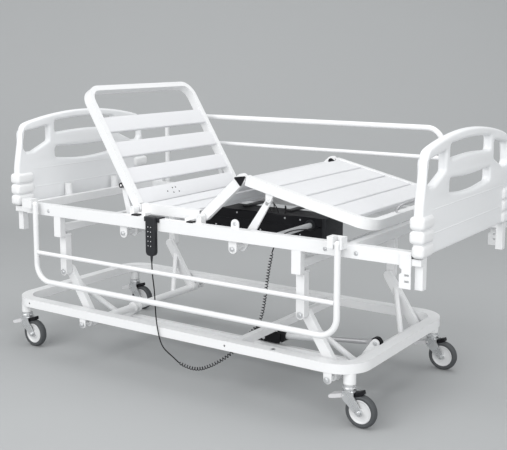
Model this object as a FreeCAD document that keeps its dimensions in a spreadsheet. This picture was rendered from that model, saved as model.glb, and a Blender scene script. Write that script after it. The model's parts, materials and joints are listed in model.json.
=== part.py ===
import FreeCAD, Part

# Electric hospital bed with a height lift, a raised back and knee section, drop side rails and castors.
# X runs from the head end to the foot end, Y across the bed, Z up. The origin is on the floor under the
# middle of the base ring. All sizes are in millimetres and angles in degrees.

import math
import os

from FreeCAD import Placement, Rotation, Vector

SIZES = {
    # the base ring's middle lies this far along X from the middle of the whole bed
    "ring_mid_x": -113,
    # base ring and its cross tube
    "ring_long": 1800, "ring_wide": 870, "ring_deep": 50, "ring_tall": 38, "ring_low": 200,
    "ring_turn": 125, "tube_wall": 2, "base_cross_x": 355, "base_cross_deep": 30,
    # castors
    "caster_x": 850, "caster_y": 380, "wheel_dia": 125, "wheel_wide": 32, "caster_trail": 50,
    "socket_dia": 48, "socket_low": 158, "stem_dia": 20, "rim_dia": 88, "fork_gap": 42,
    "fork_sheet": 3, "pedal_reach": 78,
    # swing frames of the height lift
    "pivot_z": 174, "foot_pivot_x": 785, "pivot_span": 1230, "swing_lean": 137, "swing_rise": 214,
    "torsion_dia": 34, "torsion_half": 384, "arm_wide": 40, "arm_deep": 22, "arm_y": 354,
    "brace_dia": 24, "brace_foot_y": 200, "pin_dia": 12, "fit_gap": 0.05, "lug_sheet": 5,
    "drive_y": -80, "drive_lever_x": 26, "drive_lever_z": 52, "bar_lever_x": -49, "bar_lever_z": -55,
    "lever_gap": 26, "lever_sheet": 6, "bar_tall": 36, "bar_deep": 20,
    # lift drive
    "lift_rear_x": 310, "lift_rear_z": 172, "lift_tube_dia": 30, "lift_rod_dia": 20,
    "lift_tube_long": 278, "free_gap": 6,
    # chassis
    "rail_low": 640, "rail_tall": 50, "rail_deep": 30, "rail_outer": 433, "chassis_head": -770,
    "chassis_foot": 1106, "cross_deep": 30, "cross_tall": 36, "leg_wide": 36, "leg_deep": 34,
    "leg_top": 560, "flange": 10, "stub_wide": 40, "low_cross_z": 573, "low_cross_tall": 30,
    "foot_cross_x": 865,
    # posts that carry the end boards, and the corner plates beside them
    "post_deep": 30, "post_y": 399, "post_low": 556, "post_top": 860, "head_board_x": -832,
    "foot_board_x": 1126, "corner_plate_long": 44, "corner_plate_low": 560, "corner_plate_top": 683,
    # end boards
    "board_thick": 36, "board_half": 437, "board_low": 670, "board_apex": 1085, "taper_start": 838,
    "taper_end": 1006, "board_taper": 38, "shoulder_turn": 70, "board_wall": 4, "window_out": 398, "window_in": 240,
    "window_top": 1022, "slot_half": 204, "upper_slot_low": 988, "upper_slot_top": 1048,
    "lower_slot_low": 860, "lower_slot_top": 916, "bumper_in": 350, "bumper_pitch": 48.3,
    "bumper_count": 3, "bumper_out": 12, "bumper_proud": 10, "bumper_chamfer": 9,
    # sleeping surface
    "frame_half": 368, "frame_deep": 25, "frame_tall": 40, "plane_z": 712, "back_x": -170,
    "thigh_x": 178, "back_angle": 58.3, "thigh_angle": 42.2, "leg_angle": 13, "back_long": 578,
    "thigh_long": 243, "leg_long": 582, "frame_turn": 62, "hinge_gap": 22, "slat_tall": 14,
    "slat_sheet": 2, "back_slat": 73, "leg_slat": 112,
    "last_slat": 104,
    # lifting shafts, their levers and the twin drive that hangs on them
    "shaft_dia": 24, "back_shaft_x": -206, "leg_shaft_x": 353, "shaft_z": 607, "lift_arm_y": 346,
    "lift_arm_wide": 41, "lift_arm_sheet": 8, "back_arm_long": 200, "back_arm_angle": 73.6,
    "roller_dia": 24, "leg_arm_long": 224, "slot_long": 37, "slot_wide": 14, "slot_wall": 4.5,
    "lug_drop": 41, "leg_lug_x": 135, "leg_lug_pin_dia": 10, "drive_box_head": -225, "drive_box_foot": 430,
    "drive_box_near": 175, "drive_box_far": 325, "drive_box_low": 545, "drive_box_top": 640,
    # drop side rails
    "side_y": 464, "side_head": -683, "side_foot": 838, "side_axis_z": 691.5, "side_top": 343.5,
    "side_mid": 215.5, "side_dia": 24, "side_mid_dia": 18, "side_turn": 75,
    # pole sockets behind the headboard
    "pole_x": -789.5, "pole_dia": 35, "pole_bore": 25, "pole_low": 648, "pole_top": 741,
    "pole_near_y": -150, "pole_far_y": 168,
    # handset
    "handset_x": -31, "handset_wide": 50, "handset_thick": 24, "handset_low": 537, "handset_top": 699,
    "handset_turn": 20, "pad_wide": 30, "pad_low": 33, "pad_tall": 98, "key_dia": 9, "key_column": 7,
    "key_pitch": 19.5,
    # cord
    "cord_dia": 6, "curl_dia": 14,
}

doc = FreeCAD.newDocument("hospital_bed")
sheet = doc.addObject("Spreadsheet::Sheet", "sizes")
for row, (size_name, size_value) in enumerate(SIZES.items(), 1):
    sheet.set("A%d" % row, size_name)
    sheet.set("B%d" % row, str(size_value))
    sheet.setAlias("B%d" % row, size_name)
doc.recompute()


class Size:
    """A length with the spreadsheet expression that it comes from."""

    def __init__(self, value, text):
        self.value = float(value)
        self.text = text

    def join(self, other, sign, swap=False):
        other = size(other)
        left, right = (other, self) if swap else (self, other)
        results = {"+": lambda: left.value + right.value, "-": lambda: left.value - right.value,
                   "*": lambda: left.value * right.value, "/": lambda: left.value / right.value}
        return Size(results[sign](), "(%s %s %s)" % (left.text, sign, right.text))

    def __add__(self, other):
        return self.join(other, "+")

    def __radd__(self, other):
        return self.join(other, "+", True)

    def __sub__(self, other):
        return self.join(other, "-")

    def __rsub__(self, other):
        return self.join(other, "-", True)

    def __mul__(self, other):
        return self.join(other, "*")

    def __rmul__(self, other):
        return self.join(other, "*", True)

    def __truediv__(self, other):
        return self.join(other, "/")

    def __neg__(self):
        return self.join(0, "-", True)

    def __float__(self):
        return self.value


def size(value):
    return value if isinstance(value, Size) else Size(value, repr(float(value)))


def cell(name):
    return Size(sheet.get(name), "sizes." + name)


def cosine(angle):
    return Size(math.cos(math.radians(float(angle))), "cos(%s)" % size(angle).text)


def sine(angle):
    return Size(math.sin(math.radians(float(angle))), "sin(%s)" % size(angle).text)


class Cells:
    """Reads every driving dimension by its alias."""

    def __getattr__(self, name):
        return cell(name)


d = Cells()
parts = []


def bind(item, **values):
    for prop, value in values.items():
        value = size(value)
        setattr(item, prop, value.value)
        item.setExpression(prop, value.text)
    return item


def move(item, at, axis=None, angle=0):
    angle = size(angle)
    turn = Rotation(Vector(*axis), angle.value) if axis else Rotation()
    item.Placement = Placement(Vector(*[float(a) for a in at]), turn)
    for letter, value in zip("xyz", at):
        item.setExpression(".Placement.Base." + letter, size(value).text)
    if axis and angle.text != repr(angle.value):
        item.setExpression(".Placement.Rotation.Angle", angle.text)
    return item


def box(low, high):
    item = doc.addObject("Part::Box", "box")
    bind(item, Length=high[0] - low[0], Width=high[1] - low[1], Height=high[2] - low[2])
    return move(item, low)


def rod(at, radius, length, axis="Y"):
    item = doc.addObject("Part::Cylinder", "rod")
    bind(item, Radius=radius, Height=length)
    turns = {"X": ((0, 1, 0), 90), "Y": ((1, 0, 0), -90), "Z": (None, 0)}
    return move(item, at, *turns[axis])


def solid(shape, name="solid"):
    item = doc.addObject("Part::Feature", name)
    item.Shape = shape
    return item


def join(*items):
    item = doc.addObject("Part::MultiFuse", "join")
    item.Shapes = list(items)
    item.Refine = True
    return item


def cut(base, *tools):
    item = doc.addObject("Part::Cut", "cut")
    item.Base = base
    item.Tool = tools[0] if len(tools) == 1 else join(*tools)
    return item


def group(*items):
    item = doc.addObject("Part::Compound", "group")
    item.Links = list(items)
    return item


def mirrored(item):
    copy = doc.addObject("Part::Mirroring", "mirror")
    copy.Source = item
    copy.Normal = Vector(0, 1, 0)
    return copy


def part(label, item):
    item.Label = label
    parts.append(item)
    return item


def tube(low, high, along):
    """A straight rectangular tube with open ends."""
    wall = d.tube_wall
    inner_low = [low[i] if "XYZ"[i] == along else low[i] + wall for i in range(3)]
    inner_high = [high[i] if "XYZ"[i] == along else high[i] - wall for i in range(3)]
    return cut(box(low, high), box(inner_low, inner_high))


def turned_path(points, turn):
    """Straight runs joined by tangent arcs. turn is a radius, or a list with one radius per corner."""
    turns = turn if isinstance(turn, list) else [turn] * (len(points) - 2)
    edges, start = [], points[0]
    for before, corner, after, radius in zip(points, points[1:], points[2:], turns):
        into, out = (corner - before).normalize(), (after - corner).normalize()
        bend = into.getAngle(out)
        reach = radius * math.tan(bend / 2)
        first, last = corner - into * reach, corner + out * reach
        centre = first + (out - into * out.dot(into)).normalize() * radius
        middle = centre + (corner - centre).normalize() * radius
        edges.append(Part.LineSegment(start, first).toShape())
        edges.append(Part.Arc(first, middle, last).toShape())
        start = last
    edges.append(Part.LineSegment(start, points[-1]).toShape())
    return Part.Wire(edges)


def round_pipe(points, turn, radius, wall=0):
    path = turned_path(points, turn)
    along = (points[1] - points[0]).normalize()
    rings = [Part.Wire([Part.makeCircle(r, points[0], along)]) for r in (radius, radius - wall)]
    pipe = path.makePipeShell([rings[0]], True, True)
    if wall:
        pipe = pipe.cut(path.makePipeShell([rings[1]], True, True))
    return pipe


def square_pipe(points, turn, wide, tall, wall):
    """A rectangular tube bent flat in a level plane."""
    path = turned_path(points, turn)
    along = (points[1] - points[0]).normalize()
    side = along.cross(Vector(0, 0, 1))

    def section(shrink):
        half_wide, half_tall = side * (wide / 2 - shrink), Vector(0, 0, tall / 2 - shrink)
        corners = [points[0] + half_wide + half_tall, points[0] - half_wide + half_tall,
                   points[0] - half_wide - half_tall, points[0] + half_wide - half_tall]
        return Part.makePolygon(corners + corners[:1])

    outer = path.makePipeShell([section(0)], True, True)
    return outer.cut(path.makePipeShell([section(wall)], True, True))


def strap(first, last, radius, y_low, y_high, last_radius=None):
    """A flat link in the XZ plane with round ends; a smaller last radius makes it taper."""
    last_radius = radius if last_radius is None else last_radius
    a, b = Vector(float(first[0]), 0, float(first[1])), Vector(float(last[0]), 0, float(last[1]))
    span = (b - a).Length
    lean = math.acos((float(radius) - float(last_radius)) / span)
    aim = math.atan2(b.z - a.z, b.x - a.x)

    def rim(centre, r, angle):
        return centre + Vector(math.cos(angle), 0, math.sin(angle)) * float(r)

    edges = [Part.LineSegment(rim(a, radius, aim + lean), rim(b, last_radius, aim + lean)).toShape(),
             Part.Arc(rim(b, last_radius, aim + lean), rim(b, last_radius, aim),
                      rim(b, last_radius, aim - lean)).toShape(),
             Part.LineSegment(rim(b, last_radius, aim - lean), rim(a, radius, aim - lean)).toShape(),
             Part.Arc(rim(a, radius, aim - lean), rim(a, radius, aim + math.pi),
                      rim(a, radius, aim + lean)).toShape()]
    face = Part.Face(Part.Wire(edges))
    face.translate(Vector(0, float(y_low), 0))
    return face.extrude(Vector(0, float(y_high) - float(y_low), 0))


def pierced(shape, x, z, radius):
    bound = shape.BoundBox
    pin = Part.makeCylinder(float(radius), bound.YLength + 2, Vector(float(x), bound.YMin - 1, float(z)),
                            Vector(0, 1, 0))
    return shape.cut(pin)


def both_sides(shape):
    return shape, shape.mirror(Vector(0, 0, 0), Vector(0, 1, 0))


foot_low = (d.foot_pivot_x, d.pivot_z)
head_low = (d.foot_pivot_x - d.pivot_span, d.pivot_z)
foot_high = (foot_low[0] - d.swing_lean, d.pivot_z + d.swing_rise)
head_high = (head_low[0] - d.swing_lean, d.pivot_z + d.swing_rise)
pin_r = d.pin_dia / 2
hole_r = pin_r + d.fit_gap
ring_top = d.ring_low + d.ring_tall
rail_top = d.rail_low + d.rail_tall
rail_inner = d.rail_outer - d.rail_deep
frame_inner = d.frame_half - d.frame_deep


def rounded_plate(half_long, half_wide, turn, low, high):
    x, y, r = half_long, half_wide, turn
    diag = r * (1 - math.sqrt(0.5))
    points = [(x, -y + r), (x - diag, -y + diag), (x - r, -y), (-x + r, -y), (-x + diag, -y + diag),
              (-x, -y + r), (-x, y - r), (-x + diag, y - diag), (-x + r, y), (x - r, y),
              (x - diag, y - diag), (x, y - r)]
    v = [Vector(px, py, low) for px, py in points]
    edges = []
    for i in (0, 3, 6, 9):
        edges.append(Part.Arc(v[i], v[i + 1], v[i + 2]).toShape())
        edges.append(Part.LineSegment(v[i + 2], v[(i + 3) % 12]).toShape())
    return Part.Face(Part.Wire(edges)).extrude(Vector(0, 0, high - low))


def make_base():
    half, wide, deep = float(d.ring_long) / 2, float(d.ring_wide) / 2, float(d.ring_deep)
    low, high, turn, wall = float(d.ring_low), float(ring_top), float(d.ring_turn), float(d.tube_wall)
    ring = rounded_plate(half, wide, turn, low, high)
    ring = ring.cut(rounded_plate(half - deep, wide - deep, turn - deep, low, high))
    hollow = rounded_plate(half - wall, wide - wall, turn - wall, low + wall, high - wall)
    hollow = hollow.cut(rounded_plate(half - deep + wall, wide - deep + wall, turn - deep + wall,
                                      low + wall, high - wall))
    ring = ring.cut(hollow)
    drains = [Part.makeCylinder(4, 10, Vector(x, -wide - 5, (low + high) / 2), Vector(0, 1, 0))
              for x in (-half * 0.86, half * 0.36)]
    part("base_ring", solid(ring.cut(Part.makeCompound(drains))))
    inner = d.ring_wide / 2 - d.ring_deep
    x = d.base_cross_x
    cross_low = ring_top - d.base_cross_deep
    cross = tube([x - d.base_cross_deep / 2, -inner, cross_low],
                 [x + d.base_cross_deep / 2, inner, ring_top], "Y")
    plates = []
    for side in (-1, 1):
        y = d.drive_y + side * 42 - 3
        plate = box([d.lift_rear_x - 16, y, d.lift_rear_z - 14], [x + d.base_cross_deep / 2, y + 6, cross_low])
        plates.append(cut(plate, rod([d.lift_rear_x, y - 1, d.lift_rear_z], pin_r + d.fit_gap, 8)))
    part("base_cross_tube", join(cross, *plates))
    sockets, lugs = [], []
    for sx in (-1, 1):
        for sy in (-1, 1):
            at = (d.caster_x * sx, d.caster_y * sy, d.socket_low)
            stem = rod(at, d.stem_dia / 2 + d.fit_gap, 32, "Z")
            sockets.append(cut(rod(at, d.socket_dia / 2, d.ring_low - d.socket_low, "Z"), stem))
    part("caster_sockets", group(*sockets))
    for x, z in (head_low, foot_low):
        for y in (d.ring_wide / 2 - d.ring_deep + 3, d.ring_wide / 2 - 8):
            plate = strap((x, z), (x, d.ring_low + 20), 17, y, y + d.lug_sheet)
            plate = plate.cut(Part.makeBox(200, 40, 60, Vector(float(x) - 100, float(y) - 10, float(d.ring_low))))
            plate = pierced(plate, x, z, hole_r)
            lugs += [solid(s) for s in both_sides(plate)]
    part("swing_lugs", group(*lugs))


def swing_frame(label, low, high, clevis):
    """A torsion tube with two arms, two braces and the levers of the lift linkage."""
    arm_y, half = d.arm_y, d.arm_deep / 2
    x, z = float(low[0]), float(low[1])
    shape = Part.makeCylinder(float(d.torsion_dia) / 2, 2 * float(d.torsion_half),
                              Vector(x, -float(d.torsion_half), z), Vector(0, 1, 0))
    reach = float(d.ring_wide) / 2 + 4
    shape = shape.fuse(Part.makeCylinder(float(pin_r), 2 * reach, Vector(x, -reach, z), Vector(0, 1, 0)))
    arm = strap(low, high, d.arm_wide / 2, arm_y - half, arm_y + half)
    pin = Part.makeCylinder(float(pin_r), float(d.leg_deep) + 6,
                            Vector(float(high[0]), float(arm_y + half) - 1, float(high[1])), Vector(0, 1, 0))
    along = 0.75
    top = Vector(x + (float(high[0]) - x) * along, float(arm_y), z + (float(high[1]) - z) * along)
    foot = Vector(x, float(d.brace_foot_y), z)
    brace = Part.makeCylinder(float(d.brace_dia) / 2, (foot - top).Length, top, foot - top)
    for piece in (arm, pin, brace):
        for side in both_sides(piece):
            shape = shape.fuse(side)
    lever = (low[0] + d.bar_lever_x, low[1] + d.bar_lever_z)
    for side in (-1, 1):
        y = d.drive_y + (d.lever_gap / 2) * side + (0 if side > 0 else -d.lever_sheet)
        plate = strap(low, lever, 26, y, y + d.lever_sheet, 15)
        if clevis:
            eye = (low[0] + d.drive_lever_x, low[1] + d.drive_lever_z)
            plate = plate.fuse(strap(low, eye, 26, y, y + d.lever_sheet, 18))
        shape = shape.fuse(plate)
    bar_pin = Part.makeCylinder(5, float(d.lever_gap) + 2, Vector(float(lever[0]),
                                float(d.drive_y - d.lever_gap / 2) - 1, float(lever[1])), Vector(0, 1, 0))
    shape = shape.fuse(bar_pin)
    if clevis:
        eye_pin = Part.makeCylinder(5, float(d.lever_gap) + 2, Vector(float(eye[0]),
                                    float(d.drive_y - d.lever_gap / 2) - 1, float(eye[1])), Vector(0, 1, 0))
        shape = shape.fuse(eye_pin)
    part(label, solid(shape.removeSplitter()))


def make_lift():
    swing_frame("head_swing_frame", head_low, head_high, False)
    swing_frame("foot_swing_frame", foot_low, foot_high, True)
    ends = [(low[0] + d.bar_lever_x, low[1] + d.bar_lever_z) for low in (head_low, foot_low)]
    y = d.drive_y - d.bar_deep / 2
    bar = strap(ends[0], ends[1], d.bar_tall / 2, y, y + d.bar_deep)
    for x, z in ends:
        bar = pierced(bar, x, z, 5.05)
    part("coupling_bar", solid(bar))
    rear = Vector(float(d.lift_rear_x), float(d.drive_y), float(d.lift_rear_z))
    eye = Vector(float(foot_low[0] + d.drive_lever_x), rear.y, float(foot_low[1] + d.drive_lever_z))
    along = (eye - rear).normalize()
    tube_end = rear + along * float(d.lift_tube_long)
    outer = Part.makeCylinder(float(d.lift_tube_dia) / 2, float(d.lift_tube_long) - 30,
                              rear + along * 30, along)
    bore = Part.makeCylinder(float(d.lift_rod_dia) / 2 + 0.1, float(d.lift_tube_long), rear + along * 40, along)
    housing = Part.makeBox(145, 76, 48, Vector(rear.x - 60, rear.y - 38, rear.z - 16))
    housing = housing.makeChamfer(9, housing.Edges)
    pins = Part.makeCylinder(float(pin_r), 96, Vector(rear.x, rear.y - 48, rear.z), Vector(0, 1, 0))
    part("lift_motor", solid(housing.fuse(pins).cut(bore).removeSplitter()))
    collar = Part.makeCylinder(float(d.lift_tube_dia) / 2 + 4, 16, tube_end - along * 16, along)
    sleeve = outer.fuse(collar).cut(housing).cut(bore)
    part("lift_outer_tube", solid(sleeve.removeSplitter()))
    rod_start = rear + along * 90
    shaft = Part.makeCylinder(float(d.lift_rod_dia) / 2, (eye - rod_start).Length - 14, rod_start, along)
    eye_r = 5 + float(d.free_gap)
    fork = strap((eye.x, eye.z), (eye.x - along.x * 30, eye.z - along.z * 30), eye_r + 5,
                 eye.y - 11, eye.y + 11, 12)
    part("lift_rod", solid(pierced(shaft.fuse(fork), eye.x, eye.z, eye_r).removeSplitter()))


def caster(index, x, y):
    """One swivel castor that trails towards the foot end: fork, wheel and brake pedal."""
    x, y, trail = float(x), float(y), float(d.caster_trail)
    wheel_r, half_gap, sheet_t = float(d.wheel_dia) / 2, float(d.fork_gap) / 2, float(d.fork_sheet)
    top = float(d.socket_low)
    axle = Vector(x + trail, y, wheel_r)
    up = Vector(0, 0, 1)
    crown_z = top - 22
    crown = Part.makeCylinder(27, 5, Vector(x, y, crown_z - 5), up)
    crown = crown.fuse(Part.makeCylinder(24, 21, Vector(x, y, crown_z), up))
    crown = crown.fuse(Part.makeCylinder(float(d.stem_dia) / 2, 52, Vector(x, y, crown_z), up))
    for side in (-1, 1):
        y_low = y + side * half_gap if side > 0 else y - half_gap - sheet_t
        leg = strap((x + 4, crown_z - 22), (axle.x, axle.z), 24, y_low, y_low + sheet_t, 14)
        leg = leg.fuse(Part.makeBox(48, sheet_t, 24, Vector(x - 20, y_low, crown_z - 26)))
        crown = crown.fuse(leg)
    crown = crown.fuse(Part.makeBox(48, 2 * half_gap + 2 * sheet_t, sheet_t,
                                    Vector(x - 20, y - half_gap - sheet_t, crown_z - 5)))
    reach = half_gap + sheet_t
    bolt = Part.makeCylinder(4, 2 * reach + 8, Vector(axle.x, y - reach - 4, axle.z), Vector(0, 1, 0))
    for side in (-1, 1):
        start = y + side * reach + (0 if side > 0 else -5)
        bolt = bolt.fuse(Part.makeCylinder(8, 5, Vector(axle.x, start, axle.z), Vector(0, 1, 0)))
    clear = Part.makeCylinder(wheel_r + 2, 2 * half_gap, Vector(axle.x, y - half_gap, axle.z), Vector(0, 1, 0))
    pivot = (x - 14, crown_z - 20)
    fork = pierced(crown.cut(clear).fuse(bolt), *pivot, 4 + float(d.fit_gap))
    part("caster_fork_%d" % index, solid(fork.removeSplitter()))
    half = float(d.wheel_wide) / 2
    disc_r = float(d.rim_dia) / 2
    profile = [Vector(4.05, -half, 0), Vector(14, -half + 4, 0), Vector(disc_r, -half + 4, 0),
               Vector(disc_r + 4, -half, 0), Vector(wheel_r - 3, -half, 0), Vector(wheel_r, -half + 8, 0)]
    points = profile + [Vector(p.x, -p.y, 0) for p in reversed(profile)]
    face = Part.Face(Part.makePolygon(points + points[:1]))
    wheel = face.revolve(Vector(0, 0, 0), Vector(0, 1, 0), 360)
    wheel.translate(axle)
    part("caster_wheel_%d" % index, solid(wheel))
    reach = float(d.pedal_reach)
    pedal = strap(pivot, (x - reach + 7, crown_z - 36), 8, y - 20, y + 20, 7)
    pin = Part.makeCylinder(4, 50, Vector(pivot[0], y - 25, pivot[1]), Vector(0, 1, 0))
    part("caster_pedal_%d" % index, solid(pedal.fuse(pin)))


def make_casters():
    index = 1
    for sx in (-1, 1):
        for sy in (-1, 1):
            caster(index, d.caster_x * sx, d.caster_y * sy)
            index += 1


def leg_frame(label, high):
    """Stubs, cross tube and the pair of legs that stand on the swing arms."""
    x, z = high
    half = d.leg_wide / 2
    y_in = d.arm_y + d.arm_deep / 2 + 2
    stub = tube([x - d.stub_wide / 2, rail_inner, d.leg_top - d.flange],
                [x + d.stub_wide / 2, d.rail_outer, d.rail_low], "Z")
    plate = box([x - d.stub_wide / 2, y_in, d.leg_top - d.flange], [x + d.stub_wide / 2, d.rail_outer, d.leg_top])
    leg = tube([x - half, y_in, z + 20], [x + half, y_in + d.leg_deep, d.leg_top], "Z")
    foot = cut(join(rod([x, y_in, z], half, d.leg_deep),
                    box([x - half, y_in, z], [x + half, y_in + d.leg_deep, z + 24])),
               rod([x, y_in - 1, z], hole_r, d.leg_deep + 2))
    near = join(stub, plate, leg, foot)
    cross = tube([x - 15, -rail_inner, d.low_cross_z], [x + 15, rail_inner, d.low_cross_z + d.low_cross_tall], "Y")
    item = join(near, mirrored(near), cross)
    part(label, item)


def make_chassis():
    for label, side in (("chassis_rail_near", -1), ("chassis_rail_far", 1)):
        inner, outer = sorted((rail_inner * side, d.rail_outer * side), key=float)
        part(label, tube([d.chassis_head, inner, d.rail_low], [d.chassis_foot, outer, rail_top], "X"))
    cross = []
    for x in (d.chassis_head + 2 + d.cross_deep / 2, d.foot_cross_x):
        cross.append(tube([x - d.cross_deep / 2, -rail_inner, rail_top - d.cross_tall],
                          [x + d.cross_deep / 2, rail_inner, rail_top], "Y"))
    part("chassis_cross_tubes", group(*cross))
    leg_frame("head_leg_frame", head_high)
    leg_frame("foot_leg_frame", foot_high)
    end_posts("head_board_posts", d.head_board_x, d.chassis_head)
    end_posts("foot_board_posts", d.foot_board_x, d.chassis_foot)
    lugs = []
    for x in (d.back_shaft_x, d.leg_shaft_x):
        plate = strap((x, d.shaft_z), (x, d.rail_low + 30), 19, 414, 419)
        plate = plate.cut(Part.makeBox(60, 20, 60, Vector(float(x) - 30, 405, float(d.rail_low))))
        lugs += [solid(s) for s in both_sides(pierced(plate, x, d.shaft_z, hole_r))]
    disc = strap((d.leg_shaft_x, rail_top + 13), (d.leg_shaft_x, d.rail_low + 20), 18,
                 rail_inner - d.lug_sheet, rail_inner)
    lugs += [solid(s) for s in both_sides(pierced(disc, d.leg_shaft_x, rail_top + 13, 5))]
    part("shaft_lugs", group(*lugs))
    blocks = []
    for x, step in ((d.back_x, 1), (d.thigh_x, -1)):
        for side in (-1, 1):
            low, high = sorted(((d.frame_half + 3) * side, rail_inner * side), key=float)
            lug = join(box([x - 12, low, rail_top - 22], [x + 12, high, d.plane_z]),
                       rod([x, low, d.plane_z], 12, high - low))
            blocks.append(cut(lug, rod([x, low - 1, d.plane_z], hole_r, high - low + 2)))
            low, high = sorted((d.frame_half * side, rail_inner * side), key=float)
            x_low, x_high = sorted((x + 30 * step, x + 70 * step), key=float)
            blocks.append(box([x_low, low, rail_top - 20], [x_high, high, rail_top + 10]))
    part("hinge_blocks", group(*blocks))
    make_side_blocks()
    sockets = []
    for y in (d.pole_near_y, d.pole_far_y):
        at = [d.pole_x, y, d.pole_low]
        tube_piece = cut(rod(at, d.pole_dia / 2, d.pole_top - d.pole_low, "Z"),
                         rod([d.pole_x, y, d.pole_low + 12], d.pole_bore / 2, 100, "Z"))
        weld = cut(box([d.pole_x + 10, y - 14, 658], [d.chassis_head + 2, y + 14, 686]),
                   rod([d.pole_x, y, 650], d.pole_bore / 2 + 2, 60, "Z"))
        sockets.append(join(tube_piece, weld))
    part("pole_sockets", group(*sockets))


def make_side_blocks():
    """Cheeks that carry the pivot pins of the two drop side rails."""
    blocks = []
    for side in (-1, 1):
        y, pin = side * d.side_y, d.side_axis_z
        low, high = sorted((side * d.rail_outer, y + side * 11), key=float)
        head = box([d.side_head - 72, low, pin - 20], [d.side_head - 14, high, pin + 20])
        blocks.append(cut(head, rod([d.side_head - 73, y, pin], hole_r, 60, "X")))
        back_low, back_high = sorted((side * d.rail_outer, side * (d.rail_outer + 7)), key=float)
        foot = join(box([d.side_foot - 38, low, pin - 17], [d.side_foot - 14, high, pin + 26]),
                    box([d.side_foot + 14, low, pin - 17], [d.side_foot + 22, high, pin + 26]),
                    box([d.side_foot - 38, back_low, pin - 17], [d.side_foot + 22, back_high, pin + 26]))
        blocks.append(cut(foot, rod([d.side_foot - 39, y, pin], hole_r, 62, "X")))
    part("side_rail_blocks", group(*blocks))


def end_posts(label, board_x, rail_end):
    """Two posts that stand on short tubes pushed into the rail ends."""
    sign = 1 if float(board_x) > 0 else -1
    half = d.post_deep / 2
    items = []
    wall = d.tube_wall + 0.3
    for side in (-1, 1):
        low, high = sorted(((d.post_y - half) * side, (d.post_y + half) * side), key=float)
        post = box([board_x - half, low, d.post_low], [board_x + half, high, d.post_top])
        y_low, y_high = sorted(((rail_inner + wall) * side, (d.rail_outer - wall) * side), key=float)
        x_low, x_high = sorted((rail_end - 60 * sign, board_x + half * sign), key=float)
        stub = box([x_low, y_low, d.rail_low + wall], [x_high, y_high, d.board_low - 4])
        items.append(join(post, stub))
    part(label, group(*items))


def make_corner_plates():
    """Notched plates below the foot ends of the rails, with two slots for accessory hooks."""
    foot, long = float(d.chassis_foot), float(d.corner_plate_long)
    low, top = float(d.corner_plate_low), float(d.corner_plate_top)
    y = float(d.rail_outer)
    points = [(foot - long, low), (foot, low), (foot, top), (foot - long, top),
              (foot - long, top - 50), (foot - long + 9, top - 56), (foot - long + 9, top - 68),
              (foot - long, top - 74)]
    wire = Part.makePolygon([Vector(x, y, z) for x, z in points + points[:1]])
    plate = Part.Face(wire).extrude(Vector(0, 3, 0))
    for z in (low + 22, low + 44):
        plate = plate.cut(Part.makeBox(17, 10, 7, Vector(foot - 24, y - 4, z)))
    part("corner_plates", solid(Part.makeCompound(both_sides(plate))))


def board_plate():
    """An end board: straight below, tapered above, with round shoulders and a shallow arched top."""
    w, low, apex = float(d.board_half), float(d.board_low), float(d.board_apex)
    start, shoulder_y = float(d.taper_start), float(d.board_half - d.board_taper)
    shoulder_z = apex - 51
    points = [Vector(0, -w, low), Vector(0, w, low), Vector(0, w, start), Vector(0, shoulder_y, shoulder_z)]
    edges = [Part.LineSegment(first, last).toShape() for first, last in zip(points, points[1:])]
    edges.append(Part.Arc(points[3], Vector(0, 0, apex), Vector(0, -shoulder_y, shoulder_z)).toShape())
    edges.append(Part.LineSegment(Vector(0, -shoulder_y, shoulder_z), Vector(0, -w, start)).toShape())
    edges.append(Part.LineSegment(Vector(0, -w, start), points[0]).toShape())
    plate = Part.Face(Part.Wire(edges)).extrude(Vector(float(d.board_thick), 0, 0))
    corners = [e for e in plate.Edges
               if e.BoundBox.XLength > 1 and abs(e.BoundBox.ZMin - shoulder_z) < 0.1]
    return plate.makeFillet(float(d.shoulder_turn), corners)


def window(points, turn):
    path = [Vector(0, y, z) for y, z in points]
    wire = Part.makePolygon(path + path[:1])
    plate = Part.Face(wire).extrude(Vector(100, 0, 0))
    upright = [e for e in plate.Edges if abs(e.Vertexes[0].X - e.Vertexes[-1].X) > 99]
    return plate.makeFillet(turn, upright)


def board(label, x):
    thick = float(d.board_thick)
    shape = board_plate()
    out, inn, top = float(d.window_out), float(d.window_in), float(d.window_top)
    side = window([(-out, top - 22), (-out, 924), (-out + 14, 908), (-out + 58, 908), (-inn, 950), (-inn, top)], 9)
    half = float(d.slot_half)
    upper = window([(-half, float(d.upper_slot_low) - 3), (0, float(d.upper_slot_low) + 4),
                    (half, float(d.upper_slot_low) - 3), (half, float(d.upper_slot_top) - 7),
                    (0, float(d.upper_slot_top) + 6), (-half, float(d.upper_slot_top) - 7)], 18)
    lower = window([(-half, float(d.lower_slot_low) + 8), (0, float(d.lower_slot_low) - 8),
                    (half, float(d.lower_slot_low) + 8), (half, float(d.lower_slot_top) + 4),
                    (0, float(d.lower_slot_top) - 4), (-half, float(d.lower_slot_top) + 4)], 18)
    for hole in (side, side.mirror(Vector(0, 0, 0), Vector(0, 1, 0)), upper, lower):
        hole.translate(Vector(-20, 0, 0))
        shape = shape.cut(hole)
    half_post = float(d.post_deep) / 2 + 0.5
    for sign in (-1, 1):
        y = sign * float(d.post_y)
        shape = shape.cut(Part.makeBox(2 * half_post, 2 * half_post, float(d.post_top) + 1,
                                       Vector(thick / 2 - half_post, y - half_post, 0)))
    wall = float(d.board_wall)
    hollow = Part.makeBox(thick - 2 * wall, 690, 168, Vector(wall, -345, float(d.board_low) + wall))
    for y in (-300, 300):
        hollow = hollow.fuse(Part.makeCylinder(4, 20, Vector(thick / 2, y, float(d.board_low) - 5)))
    shape = shape.cut(hollow)
    shape.translate(Vector(float(x) - thick / 2, 0, 0))
    part(label, solid(shape))
    part(label + "_bumpers", solid(Part.makeCompound(bumper_rolls(float(x)))))


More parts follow.
